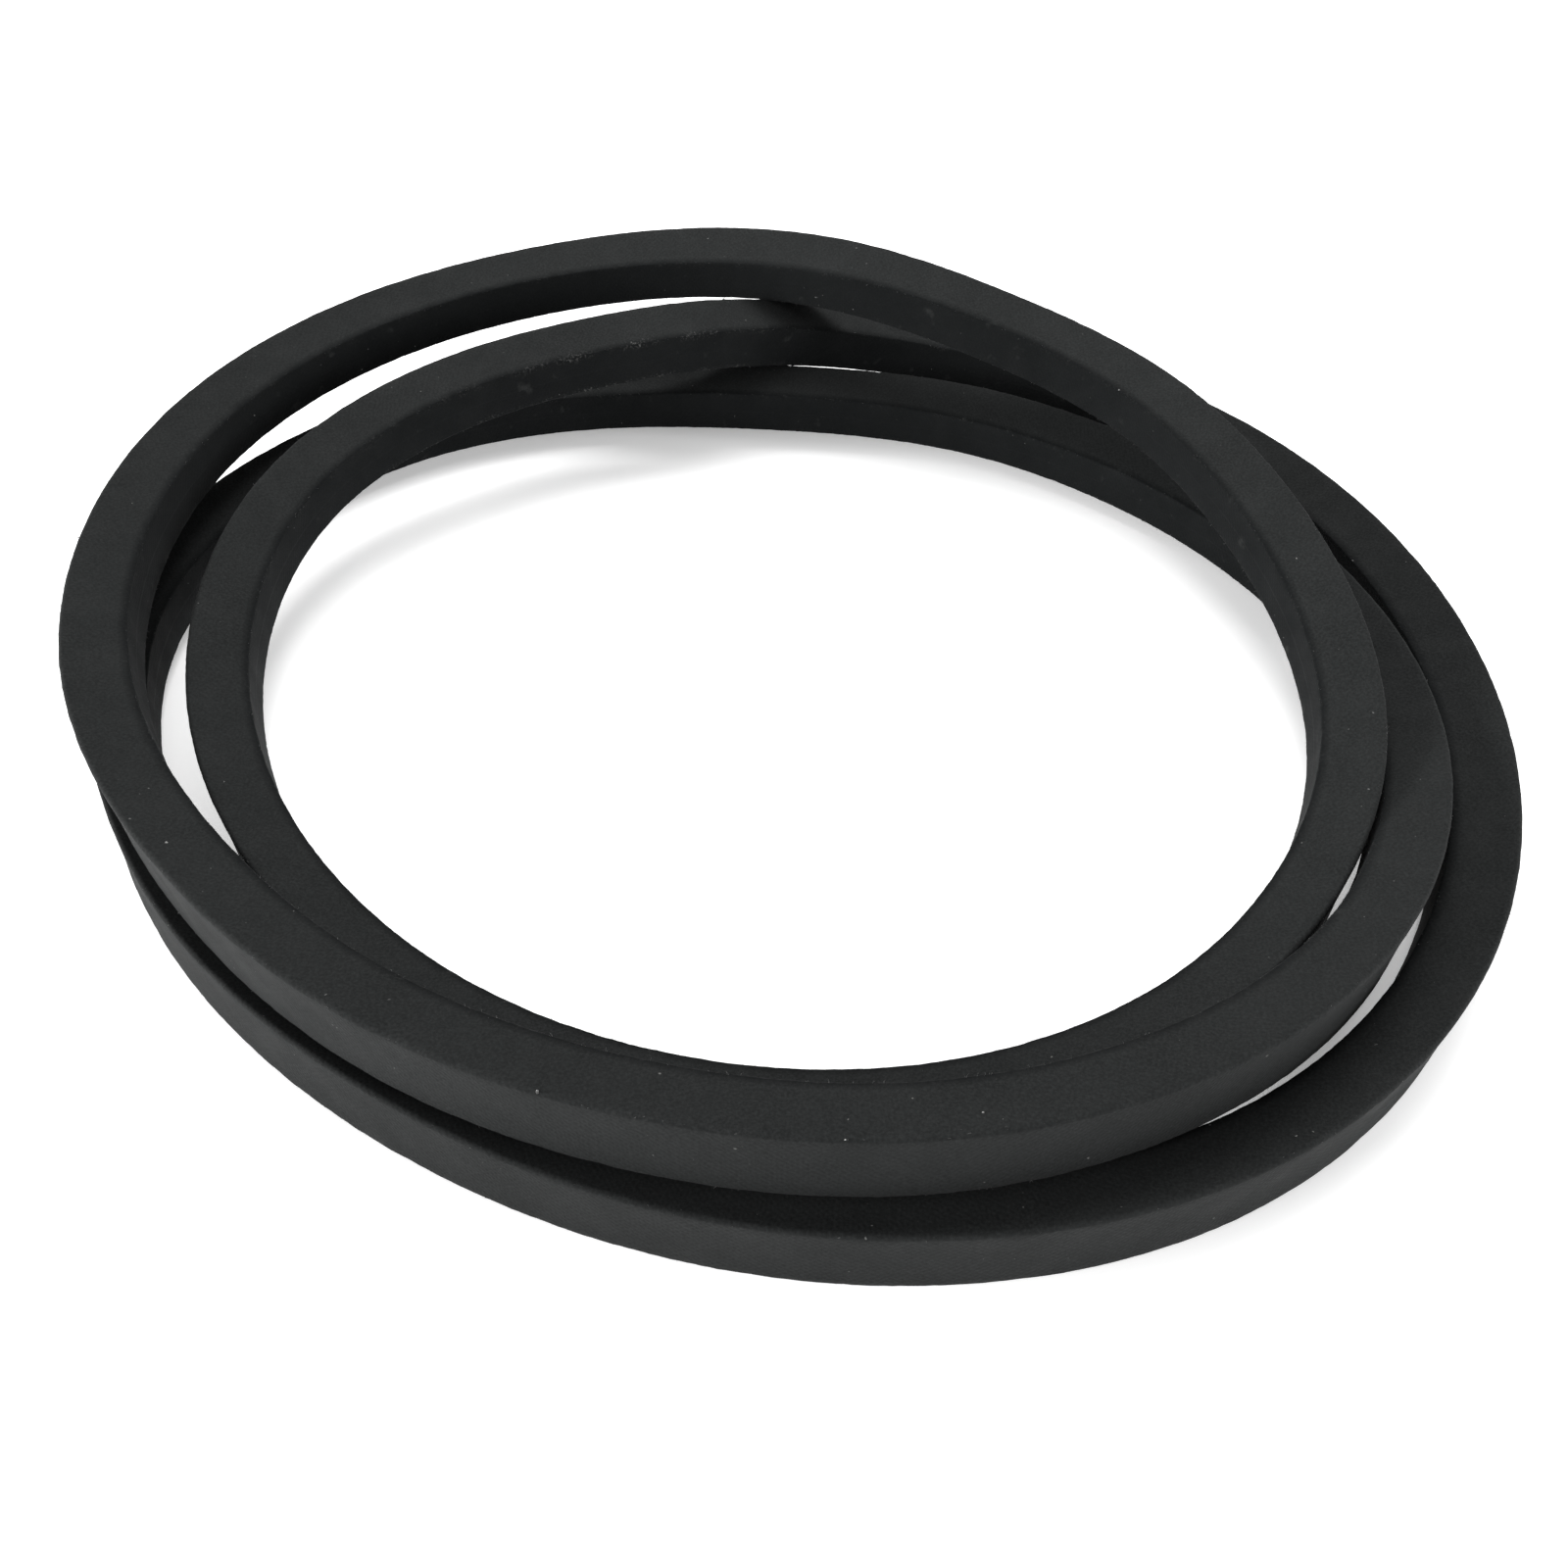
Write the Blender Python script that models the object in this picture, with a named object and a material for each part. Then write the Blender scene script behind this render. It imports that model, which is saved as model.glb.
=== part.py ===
"""Endless wrapped V-belt of classical section A, lying in a loose coil of three laps.

A fabric jacket of two plies surrounds a core of compression rubber, cord gum, one
helically wound tensile cord and tension rubber. Every piece is its own section swept
along the belt's closed route, so the layers stay parallel all the way round.
Lengths are millimetres and angles degrees; the meshes are written in metres.
"""
import bpy
import numpy as np

# Section A: u runs outward from the base (-4) to the back (+4), w across the belt.
HALF_DEPTH = 4.0
BACK_HALF_WIDTH = 6.5
WEDGE = 20.0
BACK_CHAMFER = 0.5
BASE_CHAMFER = 0.25

# Jacket: how far the faces of its plies lie inside the outline, and their open seams.
OUTER_PLY_INSIDE = 0.5
INNER_PLY_OUTSIDE = 0.6
INNER_PLY_INSIDE = 1.1
SEAM = 0.3

# Core: the u range of each rubber layer, all at the same inset from the flanks.
CORE_INSET = 1.3
CORE_LAYERS = {
    "compression_rubber": (-2.7, 0.25),
    "lower_cord_gum": (0.35, 0.7),
    "upper_cord_gum": (1.8, 2.15),
    "tension_rubber": (2.25, 2.7),
}
CORD_LAPS = 7
CORD_PITCH = 1.05
CORD_RADIUS = 0.4
CORD_DEPTH = 1.25
CORD_SIDES = 5
CORD_END_GAP = 0.3

# Route: plan radius, height of the lowest edge above the table, and outward lean of
# the section's top, at every 20 degrees of the three laps. The belt runs
# counter-clockwise seen from above, and the laps lean a little where they cross.
CONTROL_STEP = 20.0
LAP_POINTS = 18
TOP_LAP_RADIUS = [81.8, 77.8, 77.7, 74.7, 76.6, 88.0, 97.3, 103.1, 105.4,
                  102.8, 98.2, 94.0, 92.9, 93.5, 96.0, 97.4, 97.2, 95.6]
TOP_LAP_LIFT = [8.5, 13.2, 15.2, 19.2, 22.9, 20.8, 17.6, 16.3, 15.0,
                13.9, 13.5, 13.5, 13.5, 13.3, 13.0, 11.0, 6.0, 1.8]
TOP_LAP_LEAN = [0, 0, 0, 1, -5.5, -6.5, 0, 0, 0, 0, 0, 0, 0, 0, 0, 0, 0, 0]
LOW_LAP_RADIUS = [91.0, 83.2, 76.5, 72.6, 69.9, 72.4, 82.0, 93.7, 102.3,
                  104.8, 100.3, 96.4, 94.8, 96.7, 100.9, 105.4, 107.0, 105.5]
LOW_LAP_LEAN = [0, 0, 0, -0.5, 4, 4.5, 0, 0, 0, 0, -6, -4, -3, -0.5, 0, 0, 0, 0]
MIDDLE_LAP_RADIUS = [102.7, 99.9, 96.7, 91.9, 84.8, 71.3, 72.8, 77.9, 84.4,
                     86.2, 85.5, 84.1, 83.8, 84.8, 86.6, 88.0, 88.1, 86.7]
MIDDLE_LAP_LIFT = [0, 0, 0.2, 2.5, 6.0, 13.9, 13.9, 13.2, 10.5,
                   7.0, 3.5, 1.0, 0, 0, 0, 0, 0.5, 3.5]
MIDDLE_LAP_LEAN = [0, 0, 0, -0.5, 3, 1.5, -0.5, 0, 0, 0, 0, 0, 0, 0, 0, 0, 0, 0]
ON_TABLE = [0.0] * LAP_POINTS
RADIUS = TOP_LAP_RADIUS + LOW_LAP_RADIUS + MIDDLE_LAP_RADIUS
LIFT = TOP_LAP_LIFT + ON_TABLE + MIDDLE_LAP_LIFT
LEAN = TOP_LAP_LEAN + LOW_LAP_LEAN + MIDDLE_LAP_LEAN

STATION_STEP = 10.0
FULL_ROUTE = 3 * 360.0
TANGENT_STEP = 0.5

COLOURS = {
    "outer_jacket_ply": (0.035, 0.035, 0.036),
    "inner_jacket_ply": (0.05, 0.05, 0.048),
    "compression_rubber": (0.012, 0.012, 0.012),
    "tension_rubber": (0.02, 0.02, 0.021),
    "upper_cord_gum": (0.03, 0.028, 0.026),
    "lower_cord_gum": (0.028, 0.026, 0.024),
    "tensile_cord": (0.55, 0.5, 0.4),
}
ROUGHNESS = {"tensile_cord": 0.7, "outer_jacket_ply": 0.8, "inner_jacket_ply": 0.85}
RUBBER_ROUGHNESS = 0.65


def half_width(u, inset=0.0):
    """Half the belt's width at depth u, less an inset measured square to the flank."""
    flank = np.radians(WEDGE)
    return BACK_HALF_WIDTH - (HALF_DEPTH - u) * np.tan(flank) - inset / np.cos(flank)


def wedge(low, high, inset):
    """Four corners of the wedge between two depths, from its base round to its base."""
    low_half, high_half = half_width(low, inset), half_width(high, inset)
    return [(low, -low_half), (high, -high_half), (high, high_half), (low, low_half)]


def both_sides(lower):
    """A ring of corners from those of its lower side, which run from base to back."""
    return lower + [(u, -w) for u, w in reversed(lower)]


def outline():
    """The belt's outer section: the full wedge with its four edges broken."""
    base, back = -HALF_DEPTH, HALF_DEPTH
    return both_sides([
        (base, -SEAM / 2),
        (base, BASE_CHAMFER - half_width(base)),
        (base + BASE_CHAMFER, -half_width(base + BASE_CHAMFER)),
        (back - BACK_CHAMFER, -half_width(back - BACK_CHAMFER)),
        (back, BACK_CHAMFER - half_width(back)),
        (back, -SEAM / 2)])


def ply_face(inset):
    base, back = inset - HALF_DEPTH, HALF_DEPTH - inset
    return both_sides([
        (base, -SEAM / 2),
        (base, -half_width(base, inset)),
        (back, -half_width(back, inset)),
        (back, -SEAM / 2)])


def outer_ply():
    """Wrapped on from the middle of the base, where its two edges meet in a seam."""
    return outline() + ply_face(OUTER_PLY_INSIDE)[::-1]


def inner_ply():
    """Wrapped on from the middle of the back, so the two seams are far apart."""
    outside, inside = ply_face(INNER_PLY_OUTSIDE), ply_face(INNER_PLY_INSIDE)
    return outside[4:] + outside[:4] + (inside[4:] + inside[:4])[::-1]


def core_layer(low, high):
    """A rubber layer across the core between two depths."""
    low_half, high_half = half_width(low, CORE_INSET), half_width(high, CORE_INSET)
    return [(low, -low_half), (high, -high_half), (high, high_half), (low, low_half)]


def smooth_loop(values, angle):
    """Closed cubic spline through values CONTROL_STEP degrees apart."""
    v = np.asarray(values, float)
    ring = np.eye(len(v))
    slope = np.linalg.solve(4 * ring + np.roll(ring, 1, 0) + np.roll(ring, -1, 0),
                            3 * (np.roll(v, -1) - np.roll(v, 1)))
    start = np.floor(angle / CONTROL_STEP).astype(int)
    f = angle / CONTROL_STEP - start
    a, b = start % len(v), (start + 1) % len(v)
    return (v[a] * (1 + 2 * f) * (1 - f) ** 2 + slope[a] * f * (1 - f) ** 2
            + v[b] * (3 - 2 * f) * f ** 2 - slope[b] * (1 - f) * f ** 2)


def section_lean(angle):
    """Lean of the section, positive outward at the top, never past a flank lying flat."""
    return np.radians(np.clip(smooth_loop(LEAN, angle), -WEDGE, WEDGE))


def resting_height(lean):
    """Height of the section's centre when its lowest corner touches the table."""
    u, w = np.array(outline()).T
    return -(np.outer(np.cos(lean), w) - np.outer(np.sin(lean), u)).min(axis=1)


def centre_line(angle):
    """Centre of the belt's section at each angle along the route."""
    turn, radius = np.radians(angle), smooth_loop(RADIUS, angle)
    lift = np.maximum(smooth_loop(LIFT, angle), 0.0)
    height = lift + resting_height(section_lean(angle))
    return np.stack([radius * np.cos(turn), radius * np.sin(turn), height], axis=-1)


def unit(vectors):
    return vectors / np.linalg.norm(vectors, axis=-1, keepdims=True)


def sweep(angle, profile):
    """Place a profile, fixed or one per station, on the route at each angle."""
    ahead = centre_line(angle + TANGENT_STEP) - centre_line(angle - TANGENT_STEP)
    along = unit(ahead)
    out = unit(np.cross(along, [0.0, 0.0, 1.0]))
    up = np.cross(out, along)
    lean = section_lean(angle)[:, None]
    outward = out * np.cos(lean) - up * np.sin(lean)
    across = out * np.sin(lean) + up * np.cos(lean)
    points = np.broadcast_to(profile, (len(angle),) + np.shape(profile)[-2:])
    return (centre_line(angle)[:, None, :] + points[..., :1] * outward[:, None, :]
            + points[..., 1:] * across[:, None, :])


def table_shift():
    """Move that puts the coil's box over the origin with its lowest edge on z = 0."""
    points = sweep(np.arange(0.0, FULL_ROUTE, STATION_STEP), outline()).reshape(-1, 3)
    low, high = points.min(axis=0), points.max(axis=0)
    return -np.array([(low[0] + high[0]) / 2, (low[1] + high[1]) / 2, low[2]])


def add_material(obj, name):
    kind = "tensile_cord" if name.startswith("tensile_cord") else name
    material = bpy.data.materials.new(name)
    material.use_nodes = True
    shader = material.node_tree.nodes["Principled BSDF"]
    shader.inputs["Base Color"].default_value = (*COLOURS[kind], 1.0)
    shader.inputs["Roughness"].default_value = ROUGHNESS.get(kind, RUBBER_ROUGHNESS)
    obj.data.materials.append(material)


def skin_strip(near, far, j, k, forward):
    """Two triangles between neighbouring rings, their shared edge from the lesser corner."""
    if forward:
        return [(near + j, far + k, near + k), (near + j, far + j, far + k)]
    return [(near + j, far + j, near + k), (near + k, far + j, far + k)]


def add_body(name, angle, profile, shift, closed=True):
    """Sweep a profile into one solid: an endless band, or a length with two ends."""
    rings = sweep(angle, profile) + shift
    count, size = rings.shape[:2]
    corners = [tuple(corner) for corner in np.reshape(profile, (-1, size, 2))[0]]
    faces = []
    for i in range(count if closed else count - 1):
        near, far = i * size, (i + 1) % count * size
        for j in range(size):
            k = (j + 1) % size
            faces += skin_strip(near, far, j, k, corners[j] < corners[k])
    if not closed:
        last = (count - 1) * size
        for j in range(1, size - 1):
            faces += [(0, j, j + 1), (last, last + j + 1, last + j)]
    mesh = bpy.data.meshes.new(name)
    mesh.from_pydata((rings.reshape(-1, 3) / 1000).tolist(), [], faces)
    mesh.update()
    obj = bpy.data.objects.new(name, mesh)
    bpy.context.scene.collection.objects.link(obj)
    add_material(obj, name)


def build_jacket(angle, shift):
    add_body("outer_jacket_ply", angle, outer_ply(), shift)
    add_body("inner_jacket_ply", angle, inner_ply(), shift)


def build_core(angle, shift):
    for name, (low, high) in CORE_LAYERS.items():
        add_body(name, angle, core_layer(low, high), shift)


def build_cord(angle, shift):
    """One winding from edge to edge: each lap of it ends where the next begins."""
    gap = np.degrees(CORD_END_GAP / 2 / RADIUS[0])
    angle = np.append(angle, FULL_ROUTE)
    angle[0] += gap
    angle[-1] -= gap
    corner = np.arange(CORD_SIDES) * 2 * np.pi / CORD_SIDES
    circle = CORD_RADIUS * np.stack([np.cos(corner), np.sin(corner)], axis=-1)
    for lap in range(CORD_LAPS):
        drift = CORD_PITCH * (lap + angle / FULL_ROUTE - CORD_LAPS / 2)
        place = np.stack([np.full_like(drift, CORD_DEPTH), drift], axis=-1)
        profile = place[:, None, :] + circle
        add_body(f"tensile_cord_lap_{lap + 1}", angle, profile, shift, closed=False)


def main():
    for obj in list(bpy.data.objects):
        bpy.data.objects.remove(obj, do_unlink=True)
    angle = np.arange(0.0, FULL_ROUTE, STATION_STEP)
    shift = table_shift()
    build_jacket(angle, shift)
    build_core(angle, shift)
    build_cord(angle, shift)


main()
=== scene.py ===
"""The coiled V-belt as it looks: a woven, rubber-filled jacket over its packed core."""

import bpy
import numpy as np
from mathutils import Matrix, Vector


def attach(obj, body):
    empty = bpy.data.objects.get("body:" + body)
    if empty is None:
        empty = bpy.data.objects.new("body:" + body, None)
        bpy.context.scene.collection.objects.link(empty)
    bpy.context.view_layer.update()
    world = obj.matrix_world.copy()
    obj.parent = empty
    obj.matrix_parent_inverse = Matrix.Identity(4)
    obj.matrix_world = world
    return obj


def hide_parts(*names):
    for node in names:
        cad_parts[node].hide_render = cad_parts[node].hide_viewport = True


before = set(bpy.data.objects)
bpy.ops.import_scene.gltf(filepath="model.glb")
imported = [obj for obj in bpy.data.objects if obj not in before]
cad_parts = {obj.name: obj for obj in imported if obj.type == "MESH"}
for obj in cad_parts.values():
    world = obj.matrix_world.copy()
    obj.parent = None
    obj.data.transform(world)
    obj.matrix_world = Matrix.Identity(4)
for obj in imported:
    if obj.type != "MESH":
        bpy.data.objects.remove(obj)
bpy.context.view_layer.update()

# Belt section in millimetres: u runs outward from the base, w across the belt.
HALF_DEPTH = 4.0
BACK_HALF_WIDTH = 6.5
WEDGE = 20.0
BACK_CHAMFER = 0.5
BASE_CHAMFER = 0.25

# Route of the belt, the same as the core's: plan radius, height of the lowest edge
# and outward lean of the section's top, at every 20 degrees of its three laps.
CONTROL_STEP = 20.0
LAP_POINTS = 18
TOP_LAP_RADIUS = [81.8, 77.8, 77.7, 74.7, 76.6, 88.0, 97.3, 103.1, 105.4,
                  102.8, 98.2, 94.0, 92.9, 93.5, 96.0, 97.4, 97.2, 95.6]
TOP_LAP_LIFT = [8.5, 13.2, 15.2, 19.2, 22.9, 20.8, 17.6, 16.3, 15.0,
                13.9, 13.5, 13.5, 13.5, 13.3, 13.0, 11.0, 6.0, 1.8]
TOP_LAP_LEAN = [0, 0, 0, 1, -5.5, -6.5, 0, 0, 0, 0, 0, 0, 0, 0, 0, 0, 0, 0]
LOW_LAP_RADIUS = [91.0, 83.2, 76.5, 72.6, 69.9, 72.4, 82.0, 93.7, 102.3,
                  104.8, 100.3, 96.4, 94.8, 96.7, 100.9, 105.4, 107.0, 105.5]
LOW_LAP_LEAN = [0, 0, 0, -0.5, 4, 4.5, 0, 0, 0, 0, -6, -4, -3, -0.5, 0, 0, 0, 0]
MIDDLE_LAP_RADIUS = [102.7, 99.9, 96.7, 91.9, 84.8, 71.3, 72.8, 77.9, 84.4,
                     86.2, 85.5, 84.1, 83.8, 84.8, 86.6, 88.0, 88.1, 86.7]
MIDDLE_LAP_LIFT = [0, 0, 0.2, 2.5, 6.0, 13.9, 13.9, 13.2, 10.5,
                   7.0, 3.5, 1.0, 0, 0, 0, 0, 0.5, 3.5]
MIDDLE_LAP_LEAN = [0, 0, 0, -0.5, 3, 1.5, -0.5, 0, 0, 0, 0, 0, 0, 0, 0, 0, 0, 0]
ON_TABLE = [0.0] * LAP_POINTS
RADIUS = TOP_LAP_RADIUS + LOW_LAP_RADIUS + MIDDLE_LAP_RADIUS
LIFT = TOP_LAP_LIFT + ON_TABLE + MIDDLE_LAP_LIFT
LEAN = TOP_LAP_LEAN + LOW_LAP_LEAN + MIDDLE_LAP_LEAN
FULL_ROUTE = 3 * 360.0
TANGENT_STEP = 0.5
CORE_STATION_STEP = 10.0

# Jacket: stations along the belt in degrees, then its section in millimetres. The
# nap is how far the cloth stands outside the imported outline.
STATION_STEP = 0.5
BACK_ROUNDING = 0.4
BASE_ROUNDING = 0.25
NAP = 0.12
BACK_DISH = 0.12
FLANK_HOLLOW = 0.1
HOLLOW_REACH = 3.2
EDGE_REACH = 0.7
BASE_SIDE_LIMIT = -3.7
TOUCHING = 1e-6
UNEVENNESS = 0.014
FRAYING = 0.05
FLANK_PIECES = 7
BACK_PIECES = 10
BASE_PIECES_ABOVE_SEAM = 3
BASE_PIECES_BELOW_SEAM = 4

# Along the base one edge of the cloth laps over the other and steps down onto it.
SEAM_LAP = [(-4.01, 0.9), (-4.03, 0.35), (-4.035, 0.12), (-4.01, 0.03),
            (-3.985, -0.06), (-3.99, -0.3), (-4.0, -0.7)]

# Weave, and how strongly the edges are rubbed: everywhere, and along the middle
# lap's inner edge where it crosses at the back, in degrees of the route.
THREADS_ROUND = 3430
THREADS_PER_MM = 2.0
RUBBED_EVERYWHERE = 0.08
RUBBED_AT_CROSSING = 0.45
CROSSING = 838.0
CROSSING_REACH = 22.0

# Under ply: stations in degrees, and its depth below the jacket's outline.
UNDER_PLY_STEP = 2.0
UNDER_PLY_INSIDE = 0.8

# Loose fibres: three rings of three points each. Lengths and radii in millimetres.
# Most stand on the edges; on a face one is this much as likely as on an edge.
FIBRES = 3600
FIBRES_ON_FACES = 0.004
FIBRE_POINTS = 9
FIBRE_SHORTEST = 0.15
FIBRE_LONGEST = 0.55
FIBRE_RADII = (0.028, 0.022, 0.008)
FIBRE_ROOT = 0.1
TRIANGLE = ((1.0, 0.0), (-0.5, 0.87), (-0.5, -0.87))
FIBRE_FACES = [(r + a, r + b, r + b + 3, r + a + 3)
               for r in (0, 3) for a, b in ((0, 1), (1, 2), (2, 0))]
FIBRE_FACES += [(2, 1, 0), (6, 7, 8)]

# Lint crumbs: two rings of points between two tips. Sizes in millimetres.
LINT_FLAKES = 26
CRUMB_SMALLEST = 0.07
CRUMB_LARGEST = 0.17
CRUMB_SIDES = 6
CRUMB_POINTS = 2 * CRUMB_SIDES + 2
SECOND_RING = 1 + CRUMB_SIDES
SIDE_PAIRS = [(i, (i + 1) % CRUMB_SIDES) for i in range(CRUMB_SIDES)]
CRUMB_FACES = [(0, 1 + i, 1 + k) for i, k in SIDE_PAIRS]
CRUMB_FACES += [(1 + i, SECOND_RING + i, SECOND_RING + k, 1 + k) for i, k in SIDE_PAIRS]
CRUMB_FACES += [(CRUMB_POINTS - 1, SECOND_RING + k, SECOND_RING + i) for i, k in SIDE_PAIRS]

# Colours of the cloth, nearly black and a little cool.
CLOTH_DARK = (0.0063, 0.0068, 0.0068)
CLOTH_LIGHT = (0.0083, 0.009, 0.009)
CLOTH_GRAIN = (0.0178, 0.0191, 0.0191)
CLOTH_THREAD = (0.0256, 0.0268, 0.0266)
# Painted shade: the base faces are darkened in colour to stand in for the shade they lie in.
PAINTED_BASE_SHADE = (0.0023, 0.0028, 0.003)
SMUDGE_GREY = (0.06, 0.062, 0.06)
RUBBED_GREY = (0.11, 0.11, 0.107)
DUST_GREY = (0.16, 0.16, 0.155)

# Softboxes: place, target and size in metres, and power in watts.
SOFTBOXES = {
    "key": ((0.0, 0.6, 1.2), (0.0, 0.0, 0.0), (1.2, 0.8), 22.0),
    "low_left": ((-1.0, -0.3, 0.25), (-0.05, 0.0, 0.01), (0.6, 0.3), 20.0),
    "low_right": ((1.0, -0.35, 0.22), (0.05, 0.0, 0.01), (0.6, 0.3), 11.0),
}

# Strength of the white room as light; it looks white to the camera.
ROOM_LIGHT = 0.48

# Table top: its first ring and reach in metres, and a painted glow of its own that lifts the
# shadows cast on it.
FLOOR_HUB = 0.15
FLOOR_REACH = 0.9
FLOOR_RINGS = 6
FLOOR_SIDES = 64
PAINTED_TABLE_GLOW = 0.3

# Camera: in front of the coil's axis and above it, in metres from the route's centre.
# It is tilted up from straight down; lens and sensor are in millimetres.
CAMERA_PLACE = (0.0, -0.1585, 0.1435)
CAMERA_TILT = 42.5
LENS = 29.25
SENSOR_WIDTH = 36.0
NEAREST_SEEN = 0.01


# ---- the route -------------------------------------------------------------------

def unit(vectors):
    return vectors / np.linalg.norm(vectors, axis=-1, keepdims=True)


def half_width(u):
    """Half the belt's width at depth u."""
    return BACK_HALF_WIDTH - (HALF_DEPTH - u) * np.tan(np.radians(WEDGE))


def core_outline():
    """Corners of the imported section; the lowest of them decides how high it rests."""
    base, back = -HALF_DEPTH, HALF_DEPTH
    lower = [(base, BASE_CHAMFER - half_width(base)),
             (base + BASE_CHAMFER, -half_width(base + BASE_CHAMFER)),
             (back - BACK_CHAMFER, -half_width(back - BACK_CHAMFER)),
             (back, BACK_CHAMFER - half_width(back))]
    return np.array(lower + [(u, -w) for u, w in reversed(lower)])


def smooth_loop(values, angle):
    """Closed cubic spline through values CONTROL_STEP degrees apart."""
    v = np.asarray(values, float)
    ring = np.eye(len(v))
    slope = np.linalg.solve(4 * ring + np.roll(ring, 1, 0) + np.roll(ring, -1, 0),
                            3 * (np.roll(v, -1) - np.roll(v, 1)))
    start = np.floor(angle / CONTROL_STEP).astype(int)
    f = angle / CONTROL_STEP - start
    a, b = start % len(v), (start + 1) % len(v)
    return (v[a] * (1 + 2 * f) * (1 - f) ** 2 + slope[a] * f * (1 - f) ** 2
            + v[b] * (3 - 2 * f) * f ** 2 - slope[b] * (1 - f) * f ** 2)


def section_lean(angle):
    """Lean of the section, positive outward at the top, never past a flank lying flat."""
    return np.radians(np.clip(smooth_loop(LEAN, angle), -WEDGE, WEDGE))


def centre_line(angle):
    """Centre of the belt's section at each angle along the route."""
    turn, radius = np.radians(angle), smooth_loop(RADIUS, angle)
    lean, (u, w) = section_lean(angle), core_outline().T
    lowest = (np.outer(np.cos(lean), w) - np.outer(np.sin(lean), u)).min(axis=1)
    height = np.maximum(smooth_loop(LIFT, angle), 0.0) - lowest
    return np.stack([radius * np.cos(turn), radius * np.sin(turn), height], axis=-1)


def belt_axes(angle):
    """Outward, crosswise and lengthwise directions of the belt at each angle."""
    along = unit(centre_line(angle + TANGENT_STEP) - centre_line(angle - TANGENT_STEP))
    out = unit(np.cross(along, [0.0, 0.0, 1.0]))
    up = np.cross(out, along)
    lean = section_lean(angle)[:, None]
    return (out * np.cos(lean) - up * np.sin(lean),
            out * np.sin(lean) + up * np.cos(lean), along)


def on_belt(angle, points):
    """Millimetres in the section, one set per angle, to places in metres."""
    outward, across, _ = belt_axes(angle)
    places = (centre_line(angle)[:, None, :] + points[..., :1] * outward[:, None, :]
              + points[..., 1:2] * across[:, None, :])
    return places / 1000


def table_shift():
    """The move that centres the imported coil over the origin, in metres."""
    angle = np.arange(0.0, FULL_ROUTE, CORE_STATION_STEP)
    points = on_belt(angle, core_outline()[None]).reshape(-1, 3)
    low, high = points.min(axis=0), points.max(axis=0)
    return -np.array([(low[0] + high[0]) / 2, (low[1] + high[1]) / 2, low[2]])


# ---- meshes ----------------------------------------------------------------------

def add_object(name, verts, faces, material):
    mesh = bpy.data.meshes.new(name)
    mesh.from_pydata(np.asarray(verts).reshape(-1, 3).tolist(), [], faces)
    mesh.shade_smooth()
    mesh.materials.append(material)
    placed = bpy.data.objects.new(name, mesh)
    bpy.context.scene.collection.objects.link(placed)
    return placed


def add_piece(name, verts, faces, material):
    """A visible piece of the belt, which rides on the belt's one body."""
    piece = add_object(name, verts, faces, material)
    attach(piece, "root")
    return piece


def band_faces(count, size):
    """Faces of a closed tube of count stations with size points each."""
    faces = []
    for i in range(count):
        near, far = i * size, (i + 1) % count * size
        for j in range(size):
            k = (j + 1) % size
            faces.append((near + j, far + j, far + k, near + k))
    return faces


def repeated_faces(faces, count, size):
    """The faces of one small shape, for count copies of it with size points each."""
    return [tuple(start + i for i in face)
            for start in range(0, count * size, size) for face in faces]


def add_point_value(mesh, name, values):
    layer = mesh.attributes.new(name, "FLOAT", "POINT")
    layer.data.foreach_set("value", np.ascontiguousarray(values, np.float32).ravel())


# ---- the jacket ------------------------------------------------------------------

def fillet(before, corner, after, radius, steps=5):
    """Points of the arc that rounds one corner of the section."""
    a, b = unit(before - corner), unit(after - corner)
    half = np.arccos(a @ b) / 2
    centre = corner + unit(a + b) * radius / np.sin(half)
    start = corner + a * radius / np.tan(half) - centre
    end = corner + b * radius / np.tan(half) - centre
    turn = np.pi - 2 * half
    part = np.linspace(0, 1, steps + 1)[:, None]
    arc = np.sin((1 - part) * turn) * start + np.sin(part * turn) * end
    return centre + arc / np.sin(turn)


def run(start, end, pieces):
    """The points between start and end that divide the line into equal pieces."""
    return np.linspace(start, end, pieces + 1)[1:-1]


def rounded_wedge():
    """The wedge's four corners, and its outline with them rounded and the seam lapped."""
    base_w, back_w = half_width(-HALF_DEPTH), BACK_HALF_WIDTH
    corners = np.array([(-HALF_DEPTH, -base_w), (HALF_DEPTH, -back_w),
                        (HALF_DEPTH, back_w), (-HALF_DEPTH, base_w)])
    radii = [BASE_ROUNDING, BACK_ROUNDING, BACK_ROUNDING, BASE_ROUNDING]
    arcs = [fillet(corners[i - 1], corners[i], corners[(i + 1) % 4], radii[i])
            for i in range(4)]
    seam = np.array(SEAM_LAP)
    ring = [arcs[0], run(arcs[0][-1], arcs[1][0], FLANK_PIECES),
            arcs[1], run(arcs[1][-1], arcs[2][0], BACK_PIECES),
            arcs[2], run(arcs[2][-1], arcs[3][0], FLANK_PIECES),
            arcs[3], run(arcs[3][-1], seam[0], BASE_PIECES_ABOVE_SEAM),
            seam, run(seam[-1], arcs[0][0], BASE_PIECES_BELOW_SEAM)]
    return corners, np.concatenate(ring)


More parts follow.
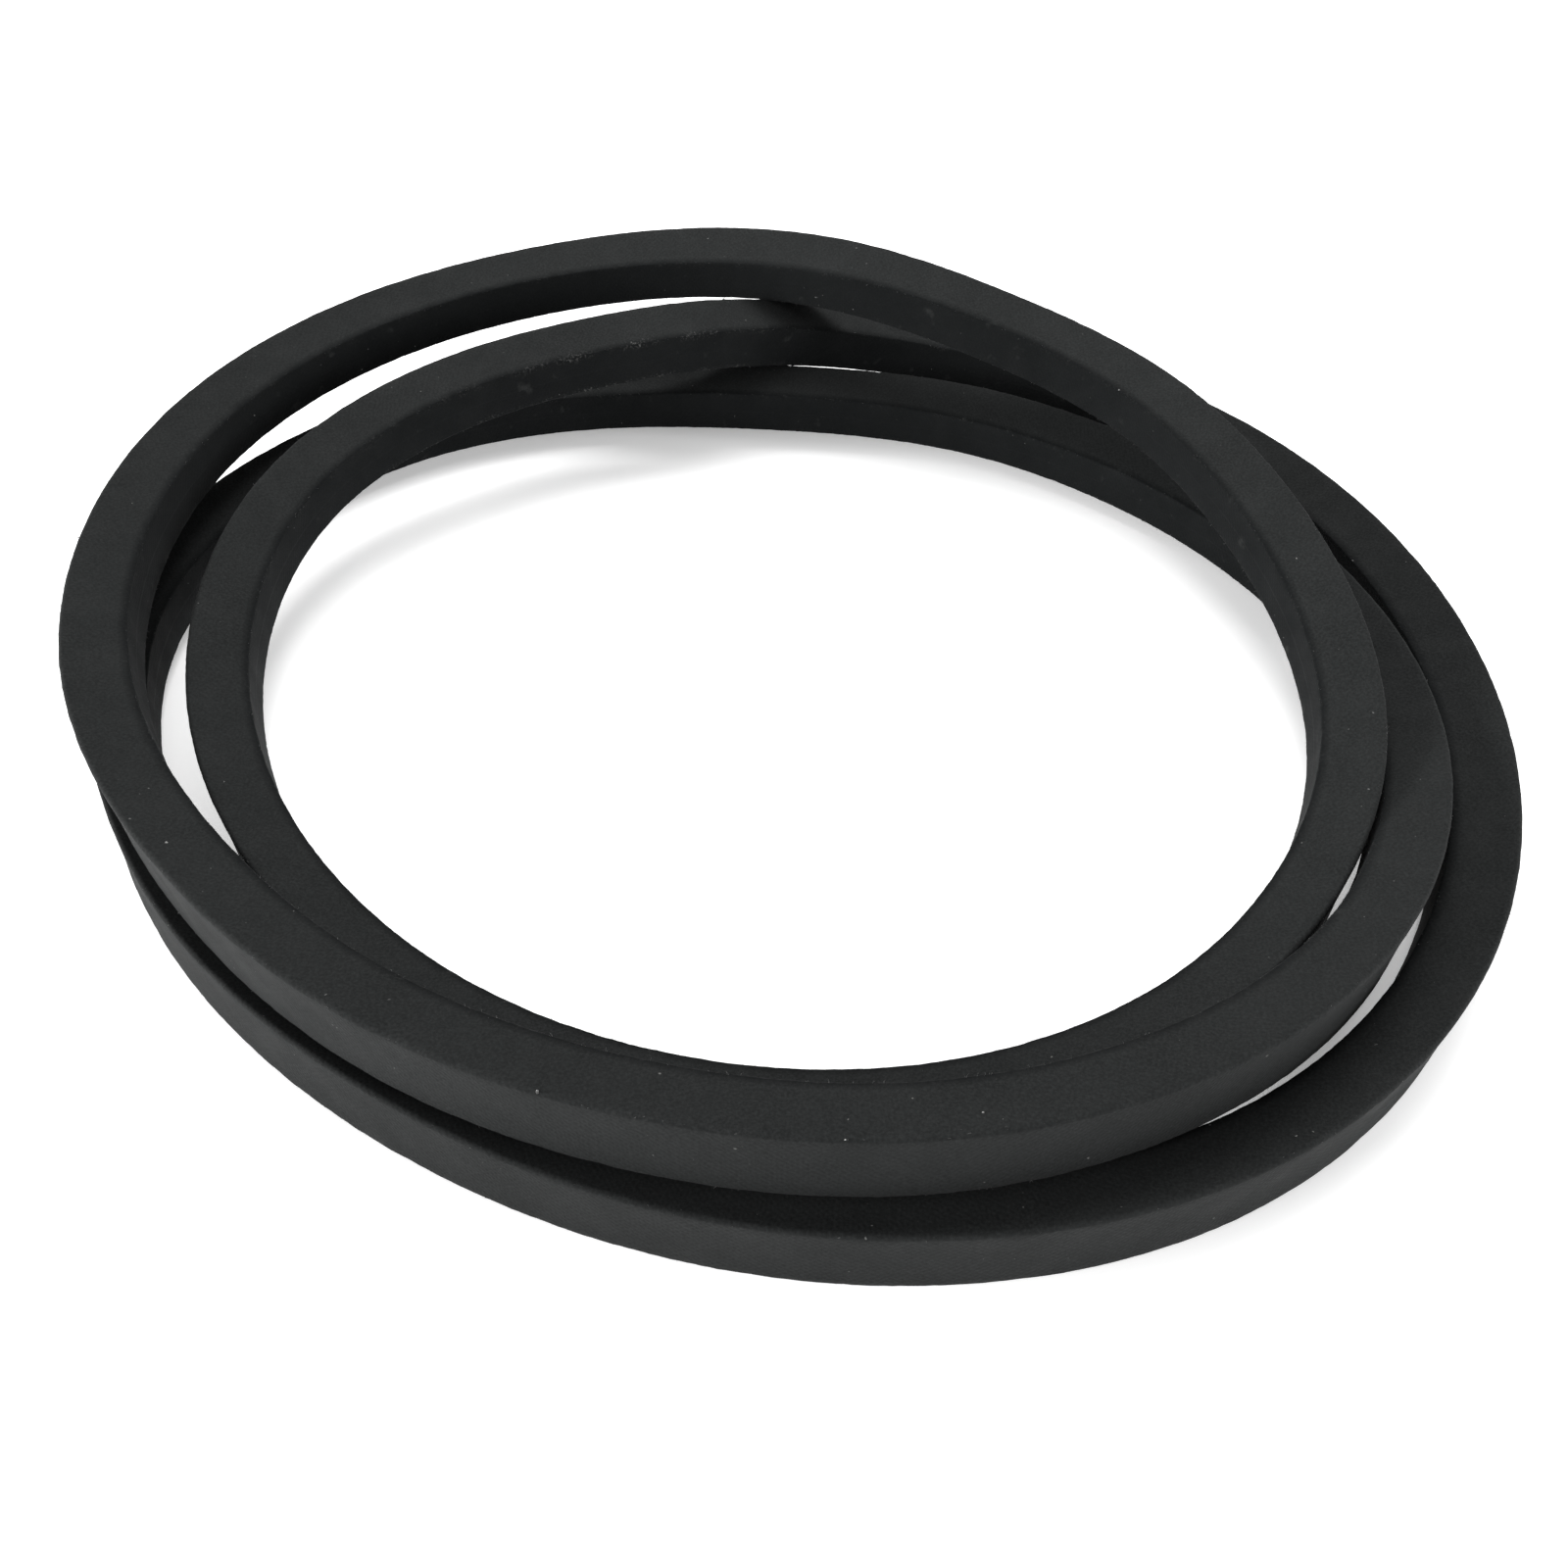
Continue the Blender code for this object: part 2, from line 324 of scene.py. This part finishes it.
def jacket_section():
    """Section points, how near each is to a corner, and 1 for those on the base."""
    corners, points = rounded_wedge()
    u, w = points.T
    on_back = u > HALF_DEPTH - TOUCHING
    u = u - on_back * BACK_DISH * (1 - (w / (BACK_HALF_WIDTH - BACK_ROUNDING)) ** 2)
    on_flank = np.abs(w) > half_width(u) - TOUCHING
    hollow = FLANK_HOLLOW * (1 - (u / HOLLOW_REACH) ** 2)
    w = w - on_flank * np.sign(w) * np.maximum(hollow, 0)
    to_corner = np.linalg.norm(points[:, None] - corners, axis=2).min(1)
    on_base = (points[:, 0] < BASE_SIDE_LIMIT).astype(float)
    return np.stack([u, w], axis=-1), np.exp(-(to_corner / EDGE_REACH) ** 2), on_base


def section_normals(points):
    """Outward direction of the section at each of its points."""
    return unit(np.roll(points, 1, 0) - np.roll(points, -1, 0))[:, ::-1] * [-1, 1]


def unevenness(angle, along_ring, seed, fewest, terms, spread):
    """A soft random surface that closes on itself along and round the belt."""
    rng = np.random.default_rng(seed)
    total = np.zeros((len(angle), len(along_ring)))
    for _ in range(terms):
        cycles, rings = rng.integers(fewest, fewest * spread), rng.integers(-3, 4)
        phase = rng.uniform(0, 2 * np.pi)
        total += np.sin(2 * np.pi * (cycles * angle[:, None] / FULL_ROUTE
                                     + rings * along_ring) + phase)
    return total / np.sqrt(terms / 2)


def add_thread_map(mesh, count, ring_place):
    """Counts threads along the belt and round its section, for the weave."""
    size = len(ring_place) - 1
    i, j = np.divmod(np.arange(count * size), size)
    u = np.stack([i, i + 1, i + 1, i], axis=-1) * (THREADS_ROUND / count)
    v = np.stack([ring_place[j], ring_place[j], ring_place[j + 1], ring_place[j + 1]], -1)
    layer = mesh.uv_layers.new(name="threads")
    layer.data.foreach_set("uv", np.stack([u, v], -1).astype(np.float32).ravel())


def rubbing(angle, ring, edge, inner_half):
    """How pale each point is rubbed, in patches along the edges."""
    crossing = np.exp(-((angle - CROSSING) / CROSSING_REACH) ** 2)[:, None]
    rubbed = edge ** 2 * (RUBBED_EVERYWHERE + RUBBED_AT_CROSSING * crossing * inner_half)
    patchy = 0.6 + 0.5 * unevenness(angle, ring, seed=23, fewest=60, terms=18, spread=10)
    return np.clip(rubbed * patchy, 0, 1)


def build_jacket(material, shift):
    """The outer ply, a woven skin over the whole belt."""
    points, edge, base = jacket_section()
    angle = np.arange(0.0, FULL_ROUTE, STATION_STEP)
    lengths = np.linalg.norm(np.roll(points, -1, 0) - points, axis=1)
    place = np.concatenate([[0.0], np.cumsum(lengths)])
    ring = place[:-1] / place[-1]
    bumps = UNEVENNESS * unevenness(angle, ring, seed=11, fewest=30, terms=26, spread=12)
    frayed = FRAYING * edge * np.random.default_rng(5).uniform(-1, 0.5, bumps.shape)
    proud = (NAP + bumps + frayed)[..., None] * section_normals(points)
    verts = on_belt(angle, points[None] + proud) + shift
    jacket = add_piece("woven_jacket", verts, band_faces(*verts.shape[:2]), material)
    add_point_value(jacket.data, "rubbed", rubbing(angle, ring, edge, points[:, 0] < 0))
    add_point_value(jacket.data, "base_side", np.tile(base, (len(angle), 1)))
    add_thread_map(jacket.data, len(angle), place * THREADS_PER_MM)
    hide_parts("outer_jacket_ply")


def build_under_ply(material, shift):
    """The second ply, a smooth closed band just under the first."""
    points, _, _ = jacket_section()
    inside = points - UNDER_PLY_INSIDE * section_normals(points)
    angle = np.arange(0.0, FULL_ROUTE, UNDER_PLY_STEP)
    verts = on_belt(angle, np.broadcast_to(inside, (len(angle), *inside.shape))) + shift
    ply = add_piece("under_ply", verts, band_faces(*verts.shape[:2]), material)
    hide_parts("inner_jacket_ply")


# ---- fibres and lint -------------------------------------------------------------

def build_fibres(material, shift):
    """Short ends of thread that stand off the four edges of the belt."""
    rng = np.random.default_rng(31)
    points, edge, _ = jacket_section()
    weight = edge ** 2 + FIBRES_ON_FACES
    angle = np.sort(rng.uniform(0.0, FULL_ROUTE, FIBRES))
    pick = rng.choice(len(points), FIBRES, p=weight / weight.sum())
    root = on_belt(angle, points[pick][:, None, :])[:, 0] + shift
    outward, across, along = belt_axes(angle)
    away = unit(points)[pick]
    lift = outward * away[:, :1] + across * away[:, 1:]
    column = (FIBRES, 1)
    lean = unit(lift * rng.uniform(0.3, 1.0, column) + along * rng.normal(0, 0.9, column)
                + across * rng.normal(0, 0.4, column))
    length = rng.uniform(FIBRE_SHORTEST, FIBRE_LONGEST, column) / 1000
    bend = along * rng.normal(0, 0.3, column) * length
    tip = root + lean * length + bend
    spine = np.stack([root - lift * FIBRE_ROOT / 1000, root + lean * length * 0.5, tip], 1)
    side = unit(np.cross(lean, [0.3, 0.2, 0.93]))
    other = np.cross(lean, side)
    width = np.array(FIBRE_RADII)[None, :, None] / 1000
    verts = np.stack([spine + (c * side + s * other)[:, None, :] * width
                      for c, s in TRIANGLE], axis=2)
    faces = repeated_faces(FIBRE_FACES, FIBRES, FIBRE_POINTS)
    fuzz = add_piece("edge_fibres", verts, faces, material)


def lint_crumb(rng):
    """An irregular two-ring pebble of fourteen points, about one unit in radius."""
    around = np.arange(CRUMB_SIDES) * 2 * np.pi / CRUMB_SIDES
    rings = [np.stack([np.cos(around + t), np.sin(around + t), np.full(CRUMB_SIDES, z)], -1)
             for t, z in ((0.0, 0.5), (0.5, -0.5))]
    points = np.concatenate([[[0, 0, 1]], *rings, [[0, 0, -1]]])
    return points * rng.uniform(0.6, 1.25, (CRUMB_POINTS, 1))


def build_lint(material, shift):
    """Small crumbs of pale lint lying on the flanks and caught on the edges."""
    rng = np.random.default_rng(71)
    verts = []
    for _ in range(LINT_FLAKES):
        angle = np.array([rng.uniform(0.0, FULL_ROUTE)])
        u = rng.choice([rng.uniform(-3.8, 3.8), 3.9, -3.9], p=[0.5, 0.3, 0.2])
        seat = np.array([[[u, half_width(u) + 0.04]]])
        centre = on_belt(angle, seat)[0, 0] + shift
        size = rng.uniform(CRUMB_SMALLEST, CRUMB_LARGEST) / 1000
        stretch = rng.uniform(0.5, 1.7, 3) * [1.0, 1.0, 0.45]
        verts.append(centre + lint_crumb(rng) * size * stretch)
    faces = repeated_faces(CRUMB_FACES, LINT_FLAKES, CRUMB_POINTS)
    crumbs = add_piece("lint_crumbs", np.concatenate(verts), faces, material)


# ---- material nodes --------------------------------------------------------------

def new_material(name, roughness, specular, sheen=0.0):
    material = bpy.data.materials.new(name)
    material.use_nodes = True
    shader = material.node_tree.nodes["Principled BSDF"]
    shader.inputs["Roughness"].default_value = roughness
    shader.inputs["Specular IOR Level"].default_value = specular
    shader.inputs["Sheen Weight"].default_value = sheen
    shader.inputs["Sheen Roughness"].default_value = 0.5
    return material, material.node_tree, shader


def add(tree, kind, values, **settings):
    """A shader node whose inputs take plain values or other nodes' outputs."""
    node = tree.nodes.new("ShaderNode" + kind)
    for key, value in settings.items():
        setattr(node, key, value)
    for key, value in values.items():
        if isinstance(value, bpy.types.NodeSocket):
            tree.links.new(value, node.inputs[key])
        else:
            node.inputs[key].default_value = value
    return node


def maths(tree, operation, first, second=0.0):
    return add(tree, "Math", {0: first, 1: second}, operation=operation).outputs[0]


def object_place(tree):
    node = tree.nodes.get("Texture Coordinate") or add(tree, "TexCoord", {})
    return node.outputs["Object"]


def noise(tree, scale, detail=2.0, roughness=0.5):
    values = {"Vector": object_place(tree), "Scale": scale, "Detail": detail,
              "Roughness": roughness}
    return add(tree, "TexNoise", values).outputs["Fac"]


def wave(tree, scale, distortion, direction):
    values = {"Vector": object_place(tree), "Scale": scale, "Distortion": distortion}
    return add(tree, "TexWave", values, bands_direction=direction).outputs["Fac"]


def remap(tree, value, low, high, to_low, to_high):
    values = {"Value": value, "From Min": low, "From Max": high,
              "To Min": to_low, "To Max": to_high}
    return add(tree, "MapRange", values, clamp=True).outputs["Result"]


def blend(tree, fac, first, second):
    """Mix of two colours, each a plain triple or a socket."""
    node = add(tree, "Mix", {0: fac}, data_type="RGBA")
    for index, colour in ((6, first), (7, second)):
        if isinstance(colour, bpy.types.NodeSocket):
            tree.links.new(colour, node.inputs[index])
        else:
            node.inputs[index].default_value = (*colour, 1.0)
    return node.outputs[2]


def bump(tree, height, distance, strength, under=None):
    values = {"Height": height, "Distance": distance, "Strength": strength}
    if under is not None:
        values["Normal"] = under
    return add(tree, "Bump", values).outputs["Normal"]


def point_value(tree, name):
    return add(tree, "Attribute", {}, attribute_name=name).outputs["Fac"]


# ---- materials -------------------------------------------------------------------

def weave_height(tree):
    """Plain weave along and across the belt, its cross ribs a little prouder."""
    threads = add(tree, "UVMap", {}, uv_map="threads")
    parts = add(tree, "SeparateXYZ", {"Vector": threads.outputs["UV"]})
    wander = maths(tree, "MULTIPLY", noise(tree, 260.0, 2.0), 1.6)
    along = maths(tree, "ADD", parts.outputs["X"], wander)
    around = maths(tree, "ADD", parts.outputs["Y"], wander)
    rib = maths(tree, "SINE", maths(tree, "MULTIPLY", along, 2 * np.pi))
    cross = maths(tree, "SINE", maths(tree, "MULTIPLY", along, np.pi))
    thread = maths(tree, "SINE", maths(tree, "MULTIPLY", around, np.pi))
    knots = maths(tree, "MULTIPLY", cross, thread)
    return maths(tree, "ADD", maths(tree, "MULTIPLY", rib, 0.35), knots)


def canvas_colour(tree, weave, grain):
    """Near-black cloth with painted shade darkening the base, and with smudges, rubbed edges
    and dust.
    """
    base_side = point_value(tree, "base_side")
    cloud = noise(tree, 55.0, 4.0, 0.6)
    colour = blend(tree, remap(tree, cloud, 0.3, 0.7, 0, 1), CLOTH_DARK, CLOTH_LIGHT)
    colour = blend(tree, remap(tree, grain, 0.4, 0.66, 0, 0.75), colour, CLOTH_GRAIN)
    colour = blend(tree, remap(tree, weave, -1.0, 1.3, 0, 0.1), colour, CLOTH_THREAD)
    # Painted shade: the base faces blend most of the way to a darker colour, for the shade
    # they lie in.
    colour = blend(tree, maths(tree, "MULTIPLY", base_side, 0.85), colour, PAINTED_BASE_SHADE)
    blots = remap(tree, noise(tree, 330.0, 3.0), 0.66, 0.78, 0, 0.16)
    colour = blend(tree, maths(tree, "MULTIPLY", base_side, blots), colour, SMUDGE_GREY)
    specks = remap(tree, noise(tree, 2600.0, 4.0, 0.7), 0.54, 0.66, 0, 1)
    chafe = maths(tree, "MULTIPLY", point_value(tree, "rubbed"), specks)
    colour = blend(tree, chafe, colour, RUBBED_GREY)
    dust = remap(tree, noise(tree, 1400.0, 1.0), 0.8, 0.83, 0, 0.6)
    return blend(tree, dust, colour, DUST_GREY)


def jacket_canvas():
    """Black rubber-filled canvas with a fine grain and a faint weave."""
    material, tree, shader = new_material("jacket_canvas", 0.85, 0.09, 0.01)
    weave = weave_height(tree)
    grain = noise(tree, 3000.0, 3.0, 0.75)
    tree.links.new(canvas_colour(tree, weave, grain), shader.inputs["Base Color"])
    rough = remap(tree, noise(tree, 180.0, 3.0), 0.3, 0.7, 0.78, 0.92)
    tree.links.new(rough, shader.inputs["Roughness"])
    surface = bump(tree, noise(tree, 900.0, 3.0), 0.00012, 0.25)
    surface = bump(tree, weave, 0.00004, 0.3, surface)
    surface = bump(tree, grain, 0.00005, 0.5, surface)
    tree.links.new(surface, shader.inputs["Normal"])
    return material


def inner_canvas():
    """The under ply: the same cloth with its threads less filled."""
    material, tree, shader = new_material("under_ply_canvas", 0.9, 0.2, 0.2)
    waves = [wave(tree, 640.0, 1.5, axis) for axis in "XYZ"]
    weave = maths(tree, "MULTIPLY", maths(tree, "ADD", waves[0], waves[1]), waves[2])
    colour = blend(tree, weave, (0.02, 0.02, 0.021), (0.06, 0.058, 0.054))
    tree.links.new(colour, shader.inputs["Base Color"])
    tree.links.new(bump(tree, weave, 0.0001, 0.6), shader.inputs["Normal"])
    return material


def rubber(name, dark, light, grit):
    """Cut rubber compound: mottled colour, fine grit and uneven gloss."""
    material, tree, shader = new_material(name, 0.65, 0.4)
    mottle = noise(tree, 400.0, 4.0, 0.6)
    colour = blend(tree, remap(tree, mottle, 0.3, 0.7, 0, 1), dark, light)
    tree.links.new(colour, shader.inputs["Base Color"])
    tree.links.new(remap(tree, mottle, 0.3, 0.7, 0.55, 0.8), shader.inputs["Roughness"])
    fine = noise(tree, grit, 3.0)
    tree.links.new(bump(tree, fine, 0.00005, 0.5), shader.inputs["Normal"])
    return material


def cord_yarn():
    """Dipped polyester cord: twisted strands under a thin amber adhesive."""
    material, tree, shader = new_material("dipped_cord", 0.7, 0.35, 0.2)
    twist = wave(tree, 900.0, 2.0, "DIAGONAL")
    colour = blend(tree, twist, (0.3, 0.22, 0.13), (0.62, 0.54, 0.4))
    tree.links.new(colour, shader.inputs["Base Color"])
    tree.links.new(bump(tree, twist, 0.0001, 0.7), shader.inputs["Normal"])
    return material


def fibre_thread():
    """Loose ends of the jacket's yarn, a shade paler than the filled cloth."""
    material, tree, shader = new_material("loose_thread", 0.85, 0.2, 0.3)
    colour = blend(tree, noise(tree, 700.0), (0.01, 0.01, 0.01), (0.035, 0.035, 0.034))
    tree.links.new(colour, shader.inputs["Base Color"])
    return material


def pale_lint():
    """Off-white lint, some crumbs greyer than others."""
    material, tree, shader = new_material("pale_lint", 0.9, 0.2, 0.4)
    shade = remap(tree, noise(tree, 130.0), 0.35, 0.65, 0, 1)
    colour = blend(tree, shade, (0.05, 0.05, 0.048), (0.28, 0.28, 0.27))
    tree.links.new(colour, shader.inputs["Base Color"])
    tree.links.new(bump(tree, noise(tree, 6000.0, 3.0), 0.00004, 0.8), shader.inputs["Normal"])
    return material


def white_table():
    """A white sheet, a little cloudy, with a faint painted glow of its own that lifts the
    shadows on it.
    """
    material, tree, shader = new_material("white_table", 0.6, 0.1)
    colour = blend(tree, noise(tree, 3.0, 2.0), (0.88, 0.88, 0.88), (0.92, 0.92, 0.92))
    tree.links.new(colour, shader.inputs["Base Color"])
    # Painted light: the table glows of its own, though it is no lamp, to lift the shadows on
    # it.
    shader.inputs["Emission Color"].default_value = (1.0, 1.0, 1.0, 1.0)
    shader.inputs["Emission Strength"].default_value = PAINTED_TABLE_GLOW
    return material


def dress_core(cloth):
    """Gives each packed inner piece the material of what it is made of."""
    looks = {
        "outer_jacket_ply": cloth,
        "inner_jacket_ply": cloth,
        "compression_rubber": rubber("compression_compound", (0.008, 0.008, 0.008),
                                     (0.018, 0.018, 0.018), 2600.0),
        "tension_rubber": rubber("tension_compound", (0.014, 0.014, 0.014),
                                 (0.028, 0.028, 0.028), 3000.0),
        "upper_cord_gum": rubber("upper_gum", (0.02, 0.018, 0.016),
                                 (0.04, 0.036, 0.03), 3500.0),
        "lower_cord_gum": rubber("lower_gum", (0.018, 0.016, 0.014),
                                 (0.036, 0.032, 0.027), 3500.0),
    }
    yarn = cord_yarn()
    for name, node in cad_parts.items():
        look = looks.get(name, yarn)
        for slot in node.material_slots:
            slot.material = look


# ---- the studio ------------------------------------------------------------------

def build_floor():
    """A flat round table top that ends where it still looks white."""
    reach = np.linspace(FLOOR_HUB, FLOOR_REACH, FLOOR_RINGS)
    around = np.arange(FLOOR_SIDES) * 2 * np.pi / FLOOR_SIDES
    rings = np.stack([np.outer(reach, np.cos(around)), np.outer(reach, np.sin(around)),
                      np.zeros((FLOOR_RINGS, FLOOR_SIDES))], -1)
    verts = np.concatenate([[[0.0, 0.0, 0.0]], rings.reshape(-1, 3)])
    faces = []
    for a in range(FLOOR_SIDES):
        near, far = 1 + a, 1 + (a + 1) % FLOOR_SIDES
        faces.append((0, near, far))
        faces += [(near + r, near + r + FLOOR_SIDES, far + r + FLOOR_SIDES, far + r)
                  for r in range(0, (FLOOR_RINGS - 1) * FLOOR_SIDES, FLOOR_SIDES)]
    floor = add_object("table", verts, faces, white_table())


def add_softbox(name, place, target, size, power):
    light = bpy.data.lights.new(name, "AREA")
    light.shape = "RECTANGLE"
    light.size, light.size_y = size
    light.energy = power
    lamp = bpy.data.objects.new(name, light)
    bpy.context.scene.collection.objects.link(lamp)
    lamp.location = place
    aim = Vector(target) - Vector(place)
    lamp.rotation_euler = aim.to_track_quat("-Z", "Y").to_euler()


def build_lights():
    """A high key light a little behind the coil, two low fills and a white room."""
    world = bpy.data.worlds.new("studio")
    world.use_nodes = True
    tree = world.node_tree
    background = tree.nodes["Background"]
    seen = add(tree, "LightPath", {}).outputs["Is Camera Ray"]
    tree.links.new(remap(tree, seen, 0.0, 1.0, ROOM_LIGHT, 1.0), background.inputs["Strength"])
    background.inputs["Color"].default_value = (1.0, 1.0, 1.0, 1.0)
    bpy.context.scene.world = world
    for name, (place, target, size, power) in SOFTBOXES.items():
        add_softbox(name, place, target, size, power)


def build_camera(shift):
    camera = bpy.data.objects.new("camera", bpy.data.cameras.new("camera"))
    camera.data.lens = LENS
    camera.data.sensor_width = SENSOR_WIDTH
    camera.data.clip_start = NEAREST_SEEN
    camera.location = shift + CAMERA_PLACE
    camera.rotation_euler = (np.radians(CAMERA_TILT), 0.0, 0.0)
    bpy.context.scene.collection.objects.link(camera)
    bpy.context.scene.camera = camera


def main():
    shift = table_shift()
    build_camera(shift)
    build_floor()
    build_lights()
    cloth = inner_canvas()
    dress_core(cloth)
    build_jacket(jacket_canvas(), shift)
    build_under_ply(cloth, shift)
    build_fibres(fibre_thread(), shift)
    build_lint(pale_lint(), shift)
    bpy.context.scene.view_settings.view_transform = "Standard"


main()
